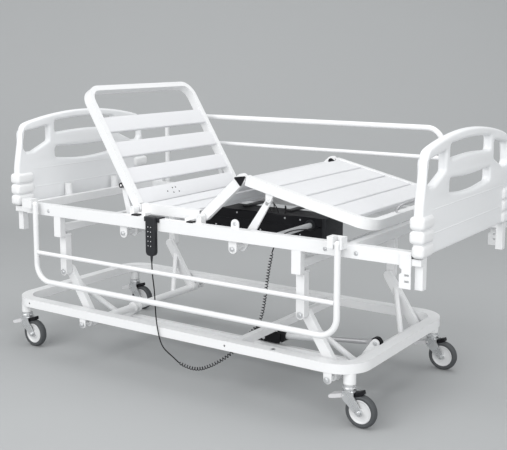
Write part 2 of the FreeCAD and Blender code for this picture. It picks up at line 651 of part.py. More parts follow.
def bumper_rolls(x):
    """Three soft rolls around each side edge of a board, notched where a chassis rail comes near."""
    proud, pitch, inner = float(d.bumper_proud), float(d.bumper_pitch), float(d.bumper_in)
    half_thick, half, low = float(d.board_thick) / 2, float(d.board_half), float(d.board_low)
    outer = half + float(d.bumper_out)
    core = Part.makeBox(2 * half_thick, half - inner + 1, 300, Vector(x - half_thick, inner - 1, low - 10))
    rail_end = Part.makeBox(proud + 1, half - inner + 1, float(rail_top) + 3 - low + 10,
                            Vector(x - half_thick - proud - 1, inner - 1, low - 10))
    wrap = None
    for count in range(int(float(d.bumper_count))):
        roll = Part.makeBox(2 * (half_thick + proud), outer - inner, pitch + 1,
                            Vector(x - half_thick - proud, inner, low + count * pitch))
        roll = roll.makeChamfer(float(d.bumper_chamfer), roll.Edges)
        wrap = wrap.fuse(roll) if wrap else roll
    wrap = wrap.cut(core)
    if x > 0:
        wrap = wrap.cut(rail_end)
    return both_sides(wrap)


def slat(x, wide, half):
    """A pressed sheet slat with turned-down edges, open below."""
    tall, wall = d.slat_tall, d.slat_sheet
    top = d.frame_tall / 2 - 2
    outer = box([x - wide / 2, -half, top - tall], [x + wide / 2, half, top])
    inner = box([x - wide / 2 + wall, -half, top - tall - 1], [x + wide / 2 - wall, half, top - wall])
    return cut(outer, inner)


def frame_ends(x, pin_out=True):
    """Round bosses and hinge pins at the ends of a section's side tubes, at local x."""
    items = []
    for side in (-1, 1):
        low, high = sorted((frame_inner * side, d.frame_half * side), key=float)
        items.append(rod([x, low, 0], d.frame_tall / 2, high - low))
        if pin_out:
            pin_low, pin_high = sorted((d.frame_half * side, (rail_inner - 1) * side), key=float)
            items.append(rod([x, pin_low, 0], pin_r, pin_high - pin_low))
    return items


def u_frame(start, end, turn):
    """A U-shaped rectangular tube whose open side is at x = start, closed at x = end."""
    centre = float(d.frame_half - d.frame_deep / 2)
    reach = end - math.copysign(float(d.frame_deep) / 2, end)
    points = [Vector(start, -centre, 0), Vector(reach, -centre, 0), Vector(reach, centre, 0),
              Vector(start, centre, 0)]
    return solid(square_pipe(points, turn, float(d.frame_deep), float(d.frame_tall), float(d.tube_wall)))


def make_sections():
    back = join(u_frame(-10, -float(d.back_long), float(d.frame_turn)), *frame_ends(size(0)))
    part("back_frame", move(back, (d.back_x, 0, d.plane_z), (0, 1, 0), d.back_angle))
    slats = group(*[slat(-x, d.back_slat, frame_inner) for x in (size(40), size(141), size(266), size(387))])
    part("back_slats", move(slats, (d.back_x, 0, d.plane_z), (0, 1, 0), d.back_angle))
    seat_tubes = []
    for side in (-1, 1):
        low, high = sorted((frame_inner * side, d.frame_half * side), key=float)
        seat_tubes.append(tube([d.back_x + d.hinge_gap, low, d.plane_z - d.frame_tall / 2],
                               [d.thigh_x - d.hinge_gap, high, d.plane_z + d.frame_tall / 2], "X"))
    part("seat_tubes", group(*seat_tubes))
    seat = group(*[move(slat(size(0), 115, frame_inner), (d.back_x + x, 0, d.plane_z)) for x in (92, 230)])
    part("seat_slats", seat)
    items = []
    for side in (-1, 1):
        low, high = sorted((frame_inner * side, d.frame_half * side), key=float)
        items.append(tube([size(0), low, -d.frame_tall / 2], [d.thigh_long, high, d.frame_tall / 2], "X"))
    thigh = join(*items, *frame_ends(size(0)), *frame_ends(d.thigh_long, False))
    thigh = cut(thigh, rod([d.thigh_long, -400, 0], hole_r, 800))
    part("thigh_frame", move(thigh, (d.thigh_x, 0, d.plane_z), (0, 1, 0), -d.thigh_angle))
    slats = group(*[slat(size(x), 88, frame_inner) for x in (75, 175)])
    part("thigh_slats", move(slats, (d.thigh_x, 0, d.plane_z), (0, 1, 0), -d.thigh_angle))
    knee = (d.thigh_x + d.thigh_long * cosine(d.thigh_angle), 0,
            d.plane_z + d.thigh_long * sine(d.thigh_angle))
    leg_u = u_frame(float(d.hinge_gap), float(d.leg_long), float(d.frame_turn))
    lug = []
    for side in (-1, 1):
        x, drop = float(d.leg_lug_x), float(d.lug_drop)
        plate = strap((x, -10), (x, -drop), 20, min(side * 357, side * 362), max(side * 357, side * 362), 13)
        pin_low = min(side * 342, side * 364)
        pin = Part.makeCylinder(float(d.leg_lug_pin_dia) / 2, 22, Vector(x, pin_low, -drop), Vector(0, 1, 0))
        lug.append(solid(plate.fuse(pin)))
    part("leg_frame", move(join(leg_u, *lug), knee, (0, 1, 0), d.leg_angle))
    places = ((95, d.leg_slat), (216.5, d.leg_slat), (338, d.leg_slat), (453.5, d.last_slat))
    slats = group(*[slat(size(x), wide, frame_inner) for x, wide in places])
    part("leg_slats", move(slats, knee, (0, 1, 0), d.leg_angle))
    part("knee_hinges", move(group(*knee_plates()), knee, (0, 1, 0), d.leg_angle))


def knee_plates():
    """A three-cornered cheek, a pin through the thigh tube's end and a link inside the leg tube."""
    outside, inside, sheet_t = float(d.frame_half) + 0.3, float(frame_inner) - 0.3, 4
    corners = [Vector(x, outside, z) for x, z in ((-33, -3), (21, 18), (7, -30))]
    cheek = Part.Face(Part.makePolygon(corners + corners[:1])).extrude(Vector(0, sheet_t, 0))
    upright = [e for e in cheek.Edges if e.BoundBox.YLength > sheet_t - 0.1]
    cheek = cheek.makeFillet(4, upright)
    link = strap((0, 0), (36, -8), 12, inside - sheet_t, inside, 8)
    pin = Part.makeCylinder(float(pin_r), outside + sheet_t - inside + sheet_t,
                            Vector(0, inside - sheet_t, 0), Vector(0, 1, 0))
    return [solid(s) for s in both_sides(cheek.fuse(link).fuse(pin).removeSplitter())]


def lift_shaft(x, arm):
    """A cross shaft that turns in the rail lugs and carries one lifting arm near each end."""
    x, z = float(x), float(d.shaft_z)
    shape = Part.makeCylinder(float(d.shaft_dia) / 2, 822, Vector(x, -411, z), Vector(0, 1, 0))
    shape = shape.fuse(Part.makeCylinder(float(pin_r), 850, Vector(x, -425, z), Vector(0, 1, 0)))
    for side in both_sides(arm):
        shape = shape.fuse(side)
    return shape.removeSplitter()


def leg_lug_pin():
    """The place of the leg section's lug pins, which ride in the slots of the leg lifting arms."""
    thigh, lean = math.radians(float(d.thigh_angle)), math.radians(float(d.leg_angle))
    along, drop = float(d.leg_lug_x), float(d.lug_drop)
    x = float(d.thigh_x) + float(d.thigh_long) * math.cos(thigh) + along * math.cos(lean) - drop * math.sin(lean)
    z = float(d.plane_z) + float(d.thigh_long) * math.sin(thigh) - along * math.sin(lean) - drop * math.cos(lean)
    return x, z


def make_drives():
    x, z = float(d.back_shaft_x), float(d.shaft_z)
    y, sheet_t = float(d.lift_arm_y), float(d.lift_arm_sheet)
    turn, long = math.radians(float(d.back_arm_angle)), float(d.back_arm_long)
    tip = (x - long * math.cos(turn), z + long * math.sin(turn))
    arm = strap((x, z), tip, d.lift_arm_wide / 2, y, y + sheet_t, 10)
    roller = Part.makeCylinder(float(d.roller_dia) / 2, 13, Vector(tip[0], y + sheet_t, tip[1]), Vector(0, 1, 0))
    part("back_lift_shaft", solid(lift_shaft(x, arm.fuse(roller))))
    x, long = float(d.leg_shaft_x), float(d.leg_arm_long)
    pin_x, pin_z = leg_lug_pin()
    turn = math.atan2(pin_z - z, pin_x - x)
    half_slot = float(d.slot_long) / 2
    radius = float(d.slot_wide) / 2
    aim = (math.cos(turn), math.sin(turn))

    def along(distance):
        return x + distance * aim[0], z + distance * aim[1]

    arm = strap((x, z), along(long + half_slot - radius), d.lift_arm_wide / 2, y, y + sheet_t,
                radius + float(d.slot_wall))
    slot = strap(along(long - half_slot + radius), along(long + half_slot - radius), radius, y - 1,
                 y + sheet_t + 1)
    part("leg_lift_shaft", solid(lift_shaft(x, arm.cut(slot))))
    body = Part.makeBox(float(d.drive_box_foot - d.drive_box_head), float(d.drive_box_far - d.drive_box_near),
                        float(d.drive_box_top - d.drive_box_low),
                        Vector(float(d.drive_box_head), float(d.drive_box_near), float(d.drive_box_low)))
    body = body.makeChamfer(5, body.Edges)
    for bore_x in (d.back_shaft_x, d.leg_shaft_x):
        body = pierced(body, bore_x, z, d.shaft_dia / 2 + 0.3)
    part("drive_box", solid(body))
    hangers = [box([at, 250, d.drive_box_top], [size(at) + 30, rail_inner, d.drive_box_top + 8])
               for at in (-60, 180)]
    part("drive_hangers", group(*hangers))


def make_side_rails():
    y = float(d.side_y)
    x1, x2 = float(d.side_head), float(d.side_foot)
    radius, wall = float(d.side_dia) / 2, 1.5
    for label, side, up in (("side_rail_near", -1, -1), ("side_rail_far", 1, 1)):
        z0 = float(d.side_axis_z)
        z1, z2 = z0 + up * float(d.side_top), z0 + up * float(d.side_mid)
        start = z0 + up * 16
        points = [Vector(x1, side * y, start), Vector(x1, side * y, z1), Vector(x2, side * y, z1),
                  Vector(x2, side * y, start)]
        frame = round_pipe(points, float(d.side_turn), radius, wall)
        bar = Part.makeCylinder(float(d.side_mid_dia) / 2, x2 - x1 - 2 * radius + 4,
                                Vector(x1 + radius - 2, side * y, z2), Vector(1, 0, 0))
        shape = frame.fuse(bar)
        for x in (x1, x2):
            low = min(z0, z0 + up * 30)
            shape = shape.fuse(Part.makeCylinder(radius, 30, Vector(x, side * y, low), Vector(0, 0, 1)))
            shape = shape.fuse(Part.makeSphere(radius, Vector(x, side * y, z0)))
        for low, long in ((x1 - 68, 68), (x2 - 36, 56)):
            shape = shape.fuse(Part.makeCylinder(float(pin_r), long, Vector(low, side * y, z0), Vector(1, 0, 0)))
        part(label, solid(shape.removeSplitter()))


def make_handset():
    x, y = float(d.handset_x), -float(d.rail_outer) - 1
    wide, thick = float(d.handset_wide), float(d.handset_thick)
    low, top = float(d.handset_low), float(d.handset_top)
    case = Part.makeBox(wide, thick, top - low, Vector(x - wide / 2, y - thick, low))
    lower = [e for e in case.Edges if e.BoundBox.YLength > thick - 1 and e.BoundBox.ZMax < low + 1]
    case = case.makeFillet(float(d.handset_turn), lower)
    front = [e for e in case.Edges if e.BoundBox.YMax < y - thick + 1]
    case = case.makeChamfer(3, front)
    bridge = float(rail_top) + 0.3
    hook = Part.makeBox(20, 6, bridge + 5 - top + 25, Vector(x - 10, y - 5.5, top - 25))
    hook = hook.fuse(Part.makeBox(20, 40, 5, Vector(x - 10, y - 5.5, bridge)))
    hook = hook.fuse(Part.makeBox(20, 4, 24, Vector(x - 10, float(-rail_inner) + 0.3, bridge - 19)))
    face, pad = y - thick, float(d.pad_wide)
    pad_low, pad_tall = low + float(d.pad_low), float(d.pad_tall)
    pocket = Part.makeBox(pad, 6, pad_tall, Vector(x - pad / 2, face - 2, pad_low))
    part("handset_case", solid(case.fuse(hook).cut(pocket).removeSplitter()))
    keypad = Part.makeBox(pad - 0.6, 1, pad_tall - 0.6, Vector(x - pad / 2 + 0.3, face + 2, pad_low + 0.3))
    for row in range(5):
        for column in (-1, 1):
            at = Vector(x + column * float(d.key_column), face - 1.5, pad_low + 10 + row * float(d.key_pitch))
            keypad = keypad.fuse(Part.makeCylinder(float(d.key_dia) / 2, 4, at, Vector(0, 1, 0)))
    part("handset_keys", solid(keypad))


# Route of the handset cord: the straight lead, the curled stretch and the short lead to the drive.
LEAD = [(-31, -446, 537), (-31, -446, 470), (-21, -444, 400), (-18, -444, 335), (-14, -444, 270),
        (-2, -444, 208), (13, -444, 168), (35, -444, 148), (68, -444, 131), (100, -444, 112)]
CURL = [(100, -444, 112), (146, -443, 99), (200, -440, 99), (252, -434, 122), (300, -418, 152),
        (330, -380, 180), (322, -325, 188), (302, -270, 192), (300, -225, 208), (322, -203, 240),
        (345, -200, 285), (358, -200, 350), (368, -200, 420), (380, -200, 500), (394, -198, 560)]
TAIL = [(394, -198, 560), (398, -188, 590), (400, -160, 614), (400, -100, 626), (400, -30, 624),
        (400, 40, 616), (400, 108, 602), (400, 175, 602)]


def cord(label, route, dia):
    points = [Vector(*p) for p in route]
    turns = []
    for before, corner, after in zip(points, points[1:], points[2:]):
        runs = (corner - before).Length, (after - corner).Length
        bend = (corner - before).getAngle(after - corner)
        turns.append(0.45 * min(runs) / math.tan(bend / 2))
    print(label, "radii", [round(t) for t in turns])
    pipe = round_pipe(points, turns, float(dia) / 2)
    length = turned_path(points, turns).Length
    print(label, "length", round(length), "volume ratio",
          round(pipe.Volume / (math.pi * (float(dia) / 2) ** 2 * length), 4))
    part(label, solid(pipe))


def make_cord():
    cord("cord_lead", LEAD, d.cord_dia)
    cord("cord_curl", CURL, d.curl_dia)
    cord("cord_tail", TAIL, d.cord_dia)


make_base()
make_lift()
make_casters()
make_chassis()
make_corner_plates()
board("headboard", d.head_board_x)
board("footboard", d.foot_board_x)
make_sections()
make_drives()
make_side_rails()
make_handset()
make_cord()
for item in parts:
    along = dict(item.ExpressionEngine).get(".Placement.Base.x", repr(item.Placement.Base.x))
    item.setExpression(".Placement.Base.x", "%s + sizes.ring_mid_x" % along)
doc.recompute()

for item in doc.Objects:
    if "Invalid" in item.State or "Error" in item.State:
        raise RuntimeError("failed: %s %s" % (item.Label, item.State))
for item in parts:
    if item.Shape.isNull() or not item.Shape.isValid():
        raise RuntimeError("bad shape: " + item.Label)
os.makedirs("parts", exist_ok=True)
for item in parts:
    item.Shape.exportStep("parts/%s.step" % item.Label)
print(len(parts), "parts")
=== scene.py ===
import json
import math

import bmesh
import bpy
from mathutils import Matrix, Vector

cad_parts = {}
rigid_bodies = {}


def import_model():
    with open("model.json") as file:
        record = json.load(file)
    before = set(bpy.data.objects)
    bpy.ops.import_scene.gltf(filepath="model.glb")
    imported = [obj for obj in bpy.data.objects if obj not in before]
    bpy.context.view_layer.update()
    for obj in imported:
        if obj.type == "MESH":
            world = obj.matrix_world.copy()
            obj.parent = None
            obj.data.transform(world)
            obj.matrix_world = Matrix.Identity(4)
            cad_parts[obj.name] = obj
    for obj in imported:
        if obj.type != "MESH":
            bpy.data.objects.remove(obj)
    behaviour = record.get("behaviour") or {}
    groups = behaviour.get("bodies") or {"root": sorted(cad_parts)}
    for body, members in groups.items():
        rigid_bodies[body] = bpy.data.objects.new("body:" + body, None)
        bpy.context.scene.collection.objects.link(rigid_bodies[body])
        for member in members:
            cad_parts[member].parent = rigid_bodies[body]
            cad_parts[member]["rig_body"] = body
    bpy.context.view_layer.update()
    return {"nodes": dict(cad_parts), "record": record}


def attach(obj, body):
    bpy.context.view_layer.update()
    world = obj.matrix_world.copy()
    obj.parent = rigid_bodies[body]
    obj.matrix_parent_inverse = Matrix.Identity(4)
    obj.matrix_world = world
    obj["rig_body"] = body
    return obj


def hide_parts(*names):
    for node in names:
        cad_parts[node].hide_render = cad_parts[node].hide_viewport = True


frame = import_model()

# The base ring's middle lies this far along X from the middle of the whole bed, in metres.
RING_MID = -0.113
UP = Vector((0, 0, 1))
SIDES = ((-1, "near"), (1, "far"))
# Points of a mesh that lie closer than this, in metres, are joined.
MERGE = 1e-6


def at(x, y, z):
    """A point in millimetres from the base ring's middle, as a vector in metres in the CAD's frame."""
    return Vector((x / 1000 + RING_MID, y / 1000, z / 1000))


# Materials

COAT_ROUGH = 0.15
BROAD_SCALE, GLOSS_SCALE = 9.0, 35.0
GLOSS_LOW, GLOSS_HIGH = 0.3, 0.7


def nodes_of(name):
    """A new material, its node tree and its main shader."""
    material = bpy.data.materials.new(name)
    material.use_nodes = True
    tree = material.node_tree
    return material, tree, tree.nodes["Principled BSDF"]


def noise(tree, scale, detail):
    """A noise over a piece's own coordinates."""
    coords = tree.nodes.new("ShaderNodeTexCoord")
    node = tree.nodes.new("ShaderNodeTexNoise")
    node.inputs["Scale"].default_value = scale
    node.inputs["Detail"].default_value = detail
    tree.links.new(coords.outputs["Object"], node.inputs["Vector"])
    return node.outputs["Fac"]


def two_tones(tree, shader, source, first, second):
    """Mixes the base colour from two tones."""
    mix = tree.nodes.new("ShaderNodeMix")
    mix.data_type = "RGBA"
    mix.inputs["A"].default_value = (*first, 1)
    mix.inputs["B"].default_value = (*second, 1)
    tree.links.new(source, mix.inputs["Factor"])
    tree.links.new(mix.outputs["Result"], shader.inputs["Base Color"])


def uneven_gloss(tree, shader, source, low, high):
    """Varies the roughness between two values."""
    node = tree.nodes.new("ShaderNodeMapRange")
    node.inputs["From Min"].default_value = GLOSS_LOW
    node.inputs["From Max"].default_value = GLOSS_HIGH
    node.inputs["To Min"].default_value = low
    node.inputs["To Max"].default_value = high
    tree.links.new(source, node.inputs["Value"])
    tree.links.new(node.outputs["Result"], shader.inputs["Roughness"])


def surface(name, colour, rough, metallic=0.0, coat=0.0, grain=400.0, bump=0.02, bump_size=0.0004,
            mottle=0.04, rough_spread=0.06, bevel=0.0, shine=0.5):
    """A painted, moulded or plated finish: colour mottling, uneven gloss, fine bump and soft edges."""
    material, tree, shader = nodes_of(name)
    shader.inputs["Metallic"].default_value = metallic
    shader.inputs["Coat Weight"].default_value = coat
    shader.inputs["Coat Roughness"].default_value = COAT_ROUGH
    shader.inputs["Specular IOR Level"].default_value = shine
    two_tones(tree, shader, noise(tree, BROAD_SCALE, 4.0), [c * (1 - mottle) for c in colour],
              [min(1, c * (1 + mottle)) for c in colour])
    uneven_gloss(tree, shader, noise(tree, GLOSS_SCALE, 5.0), rough - rough_spread, rough + rough_spread)
    relief = tree.nodes.new("ShaderNodeBump")
    relief.inputs["Strength"].default_value = bump
    relief.inputs["Distance"].default_value = bump_size
    tree.links.new(noise(tree, grain, 2.0), relief.inputs["Height"])
    if bevel:
        soft = tree.nodes.new("ShaderNodeBevel")
        soft.samples = 4
        soft.inputs["Radius"].default_value = bevel
        tree.links.new(soft.outputs["Normal"], relief.inputs["Normal"])
    tree.links.new(relief.outputs["Normal"], shader.inputs["Normal"])
    return material


WHITE = surface("white_powder_coat", (0.80, 0.805, 0.81), 0.34, coat=0.15, grain=260, bump=0.10, bevel=0.0022,
                mottle=0.012)
SLAT = surface("slat_powder_coat", (0.73, 0.735, 0.75), 0.38, coat=0.1, grain=260, bump=0.10, bevel=0.0015,
               mottle=0.015)
BOARD = surface("board_moulded_plastic", (0.80, 0.81, 0.82), 0.42, grain=900, bump=0.18, bump_size=0.0003,
                mottle=0.012)
BUMPER = surface("bumper_moulded_plastic", (0.81, 0.815, 0.82), 0.40, grain=900, bump=0.15, bump_size=0.0003,
                 mottle=0.01)
BLACK = surface("black_moulded_plastic", (0.006, 0.006, 0.008), 0.45, grain=1200, bump=0.25, bump_size=0.0003,
                bevel=0.0015, shine=0.22)
BLACK_STEEL = surface("black_painted_steel", (0.02, 0.02, 0.022), 0.35, grain=260, bump=0.08, bevel=0.001)
HANDSET = surface("handset_plastic", (0.016, 0.017, 0.020), 0.5, grain=1800, bump=0.35, bump_size=0.0003,
                  shine=0.35)
CABLE = surface("cable_sheath", (0.006, 0.006, 0.007), 0.45, grain=700, bump=0.08, shine=0.25)
GREY_TUBE = surface("grey_tube_paint", (0.62, 0.63, 0.64), 0.35, coat=0.1, bevel=0.001)
ZINC = surface("zinc_plate", (0.70, 0.71, 0.72), 0.30, metallic=0.85, grain=120, bump=0.06, mottle=0.08,
               rough_spread=0.1, bevel=0.0008)
STEEL = surface("bright_steel", (0.46, 0.46, 0.47), 0.36, metallic=0.5, grain=300, bump=0.04, mottle=0.05)
TYRE = surface("grey_tyre_rubber", (0.060, 0.064, 0.068), 0.62, grain=500, bump=0.25, mottle=0.15)
DISC = surface("wheel_disc_plastic", (0.66, 0.665, 0.67), 0.42, grain=900, bump=0.1, mottle=0.03)
PEDAL = surface("pedal_plastic", (0.62, 0.62, 0.63), 0.45, grain=900, bump=0.15, bevel=0.0015)

SLOT_LOOK = {"white_paint": WHITE, "slat_paint": SLAT, "board_plastic": BOARD, "bumper_plastic": BUMPER,
             "black_plastic": BLACK, "black_metal": BLACK_STEEL, "handset_plastic": HANDSET,
             "grey_tube": GREY_TUBE, "bright_steel": STEEL, "caster_zinc": ZINC, "caster_tyre": TYRE,
             "pedal_plastic": PEDAL}
node_slot = {s["node"]: s["material_slot"] for s in frame["record"]["subparts"]}


def dress(obj, look):
    """Gives a new piece its look."""
    obj.data.materials.clear()
    obj.data.materials.append(look)
    return obj


for name, obj in frame["nodes"].items():
    obj.data.materials.clear()
    obj.data.materials.append(SLOT_LOOK[node_slot[name]])


# Camera at the photograph's place

CAMERA_SPOT = (2386.6, -3298.8, 1372.3)
AZIMUTH, ELEVATION = math.radians(34.15), math.radians(8.18)
SENSOR, LENS, SHIFT_X, SHIFT_Y = 36, 66.17, 0.0077, -0.0832


def place_camera():
    camera = bpy.data.objects.new("camera", bpy.data.cameras.new("camera"))
    bpy.context.scene.collection.objects.link(camera)
    level = math.cos(ELEVATION)
    back = Vector((math.sin(AZIMUTH) * level, -math.cos(AZIMUTH) * level, math.sin(ELEVATION)))
    right = Vector((math.cos(AZIMUTH), math.sin(AZIMUTH), 0))
    turn = Matrix((right, back.cross(right), back)).transposed()
    camera.matrix_world = Matrix.Translation(at(*CAMERA_SPOT)) @ turn.to_4x4()
    camera.data.sensor_width = SENSOR
    camera.data.lens = LENS
    camera.data.shift_x = SHIFT_X
    camera.data.shift_y = SHIFT_Y
    bpy.context.scene.camera = camera


place_camera()


# Cords

def curve_object(name, points, radius, resolution, sides=4):
    """A round curve that its points, given in metres, pull into shape."""
    data = bpy.data.curves.new(name, "CURVE")
    data.dimensions = "3D"
    data.resolution_u = resolution
    data.bevel_resolution = sides
    data.bevel_depth = radius
    data.use_fill_caps = True
    spline = data.splines.new("NURBS")
    spline.points.add(len(points) - 1)
    for point, spot in zip(spline.points, points):
        point.co = (*spot, 1)
    spline.order_u = 3
    spline.use_endpoint_u = True
    obj = bpy.data.objects.new(name, data)
    bpy.context.scene.collection.objects.link(obj)
    return obj


def centreline(points):
    """Points along the smooth line of a route, read from its own curve."""
    guide = curve_object("guide", points, 0.0, resolution=24)
    bpy.context.view_layer.update()
    mesh = bpy.data.meshes.new_from_object(guide)
    line = [v.co.copy() for v in mesh.vertices]
    bpy.data.objects.remove(guide)
    return line


def length_of(line):
    return sum((b - a).length for a, b in zip(line, line[1:]))


def helix(line, radius, pitch, steps=12):
    """A coil around a line, starting and ending on it."""
    total = length_of(line)
    turns = round(total / pitch)
    count = turns * steps
    marks = [0.0]
    for a, b in zip(line, line[1:]):
        marks.append(marks[-1] + (b - a).length)
    side = (line[1] - line[0]).cross(UP).normalized()
    points, index = [line[0].copy()], 0
    for step in range(1, count):
        along = total * step / count
        while marks[index + 1] < along:
            index += 1
        part = (along - marks[index]) / (marks[index + 1] - marks[index])
        spot = line[index].lerp(line[index + 1], part)
        aim = (line[index + 1] - line[index]).normalized()
        side = (side - aim * side.dot(aim)).normalized()
        other = aim.cross(side)
        angle = math.tau * step / steps
        reach = radius * min(1, step / steps, (count - step) / steps)
        points.append(spot + (side * math.cos(angle) + other * math.sin(angle)) * reach)
    points.append(line[-1].copy())
    return points


def declare_cord(piece, length, node=None):
    """Dresses a cord of the chassis, hides the node that it stands for if one is named, and hangs the cord on
    the chassis; its length is not used.
    """
    dress(piece, CABLE)
    if node:
        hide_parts(node)
    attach(piece, "chassis")


def routed_cord(name, route, radius, node=None):
    """A cord along a route of points given in millimetres."""
    points = [at(*p) for p in route]
    piece = curve_object(name, points, radius, resolution=10)
    declare_cord(piece, length_of(centreline(points)), node)


def coiled_cord(name, route, radius, pitch, wire_radius, node):
    """A cord that is coiled around a route of points given in millimetres."""
    points = helix(centreline([at(*p) for p in route]), radius, pitch)
    piece = curve_object(name, points, wire_radius, resolution=3, sides=2)
    declare_cord(piece, length_of(centreline(points)), node)


LEAD = [(-31, -446, 537), (-31, -446, 470), (-21, -444, 400), (-18, -444, 335), (-14, -444, 270),
        (-2, -444, 208), (13, -444, 168), (35, -444, 148), (68, -444, 131), (100, -444, 112)]
CURL = [(100, -444, 112), (146, -443, 99), (200, -440, 99), (252, -434, 122), (300, -418, 152),
        (330, -380, 180), (322, -325, 188), (302, -270, 192), (300, -225, 208), (322, -203, 240),
        (345, -200, 285), (358, -200, 350), (368, -200, 420), (380, -200, 500), (394, -198, 560)]
TAIL = [(394, -198, 560), (398, -188, 590), (400, -160, 614), (400, -100, 626), (400, -30, 624),
        (400, 40, 616), (400, 108, 602), (400, 175, 602)]
CORD_RADIUS, COIL_RADIUS, COIL_PITCH, COIL_WIRE = 0.0026, 0.0058, 0.0125, 0.0018

routed_cord("handset_lead", LEAD, CORD_RADIUS, "cord_lead")
routed_cord("handset_tail", TAIL, CORD_RADIUS, "cord_tail")
coiled_cord("handset_coil", CURL, COIL_RADIUS, COIL_PITCH, COIL_WIRE, "cord_curl")


# Shape helpers, with sizes in millimetres

ARC_STEP = 9
CORNER_SHARE = 0.49


def rounded(corners):
    """Outline points of a polygon given as (x, y, turn radius), with each corner rounded."""
    points, count = [], len(corners)
    for i, (x, y, radius) in enumerate(corners):
        corner = Vector((x, y))
        if not radius:
            points.append(corner)
            continue
        before, after = Vector(corners[i - 1][:2]), Vector(corners[(i + 1) % count][:2])
        into, out = (corner - before).normalized(), (after - corner).normalized()
        bend = into.angle(out)
        reach = min(radius * math.tan(bend / 2), CORNER_SHARE * (corner - before).length,
                    CORNER_SHARE * (after - corner).length)
        first, last = corner - into * reach, corner + out * reach
        steps = max(2, round(math.degrees(bend) / ARC_STEP))
        for step in range(steps + 1):
            t = step / steps
            points.append(first * (1 - t) ** 2 + corner * 2 * t * (1 - t) + last * t ** 2)
    return points


def arch(half, low, rise, steps):
    """Points from +half to -half along a shallow arch of that rise above low."""
    shares = [1 - 2 * i / steps for i in range(steps + 1)]
    return [(half * share, low + rise * (1 - share ** 2)) for share in shares]


def mirrored(half):
    """A turned profile from its first half, which the second half mirrors along the axis."""
    return half + [(radius, -along) for radius, along in reversed(half)]


def facing(direction, centre):
    """Places a plate drawn in (across, up) so that it faces along X or Y, with its middle at centre."""
    across, normal = {"X": (Vector((0, 1, 0)), Vector((1, 0, 0))),
                      "Y": (Vector((1, 0, 0)), Vector((0, -1, 0)))}[direction]
    turn = Matrix((across, UP, normal)).transposed().to_4x4()
    return Matrix.Translation(centre) @ turn


def mesh_piece(name, mesh, look, body, smooth=35):
    """A dressed piece from a mesh, smooth up to that angle in degrees. It rides on body, if there is one."""
    obj = bpy.data.objects.new(name, mesh)
    bpy.context.scene.collection.objects.link(obj)
    work = bmesh.new()
    work.from_mesh(mesh)
    bmesh.ops.remove_doubles(work, verts=work.verts, dist=MERGE)
    work.to_mesh(mesh)
    work.free()
    for polygon in mesh.polygons:
        polygon.use_smooth = True
    mesh.set_sharp_from_angle(angle=math.radians(smooth))
    dress(obj, look)
    if body:
        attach(obj, body)
    return obj


def closed_mesh(name, verts, faces):
    """A mesh without doubles or many-sided faces, and with all its faces looking outwards."""
    mesh = bpy.data.meshes.new(name)
    mesh.from_pydata(verts, [], faces)
    work = bmesh.new()
    work.from_mesh(mesh)
    bmesh.ops.remove_doubles(work, verts=work.verts, dist=MERGE)
    bmesh.ops.recalc_face_normals(work, faces=work.faces)
    bmesh.ops.triangulate(work, faces=[f for f in work.faces if len(f.verts) > 4])
    work.to_mesh(mesh)
    work.free()
    return mesh


def plate(name, outlines, thick, edge, turn, look, body, steps=3):
    """A flat plate with holes and rounded edges. The first outline is its rim, the rest are holes.

    Outlines are drawn in the plate's own plane, and turn places that plane in the CAD's frame."""
    data = bpy.data.curves.new(name, "CURVE")
    data.dimensions = "2D"
    data.fill_mode = "BOTH"
    data.extrude = max(0, thick / 2000 - edge / 1000)
    data.bevel_depth = edge / 1000
    data.bevel_resolution = steps
    data.offset = -edge / 1000
    for outline in outlines:
        spline = data.splines.new("POLY")
        spline.points.add(len(outline) - 1)
        for point, spot in zip(spline.points, outline):
            point.co = (spot[0] / 1000, spot[1] / 1000, 0, 1)
        spline.use_cyclic_u = True
    temp = bpy.data.objects.new(name + "_outline", data)
    bpy.context.scene.collection.objects.link(temp)
    bpy.context.view_layer.update()
    mesh = bpy.data.meshes.new_from_object(temp)
    bpy.data.objects.remove(temp)
    mesh.transform(turn)
    return mesh_piece(name, mesh, look, body)


def soft_box(name, low, high, edge, look, body, steps=3):
    """A block with rounded edges between two corners."""
    low, high = at(*low), at(*high)
    work = bmesh.new()
    bmesh.ops.create_cube(work, size=1.0)
    for vert in work.verts:
        vert.co = Vector([a + (c + 0.5) * (b - a) for c, a, b in zip(vert.co, low, high)])
    bmesh.ops.bevel(work, geom=work.edges[:], offset=edge / 1000, offset_type="OFFSET", segments=steps,
                    profile=0.5, affect="EDGES", clamp_overlap=True)
    mesh = bpy.data.meshes.new(name)
    work.to_mesh(mesh)
    work.free()
    return mesh_piece(name, mesh, look, body)


def lathe(name, profile, centre, axis, look, body, steps=48, smooth=30):
    """A turned piece. The profile is a closed loop of (radius, distance along axis)."""
    aim = Vector(axis).normalized()
    side = aim.orthogonal().normalized()
    other = aim.cross(side)
    verts, faces, count = [], [], len(profile)
    for step in range(steps):
        angle = math.tau * step / steps
        out = side * math.cos(angle) + other * math.sin(angle)
        verts += [centre + (out * radius + aim * along) / 1000 for radius, along in profile]
    for step in range(steps):
        first, second = step * count, (step + 1) % steps * count
        for i in range(count):
            j = (i + 1) % count
            faces.append((first + i, first + j, second + j, second + i))
    return mesh_piece(name, closed_mesh(name, verts, faces), look, body, smooth)


def merge(name, pieces, look, body):
    """Several finished shapes as one piece."""
    work = bmesh.new()
    for piece in pieces:
        copy = piece.data.copy()
        copy.transform(piece.matrix_world)
        work.from_mesh(copy)
        bpy.data.meshes.remove(copy)
        bpy.data.objects.remove(piece)
    mesh = bpy.data.meshes.new(name)
    work.to_mesh(mesh)
    work.free()
    return mesh_piece(name, mesh, look, body)


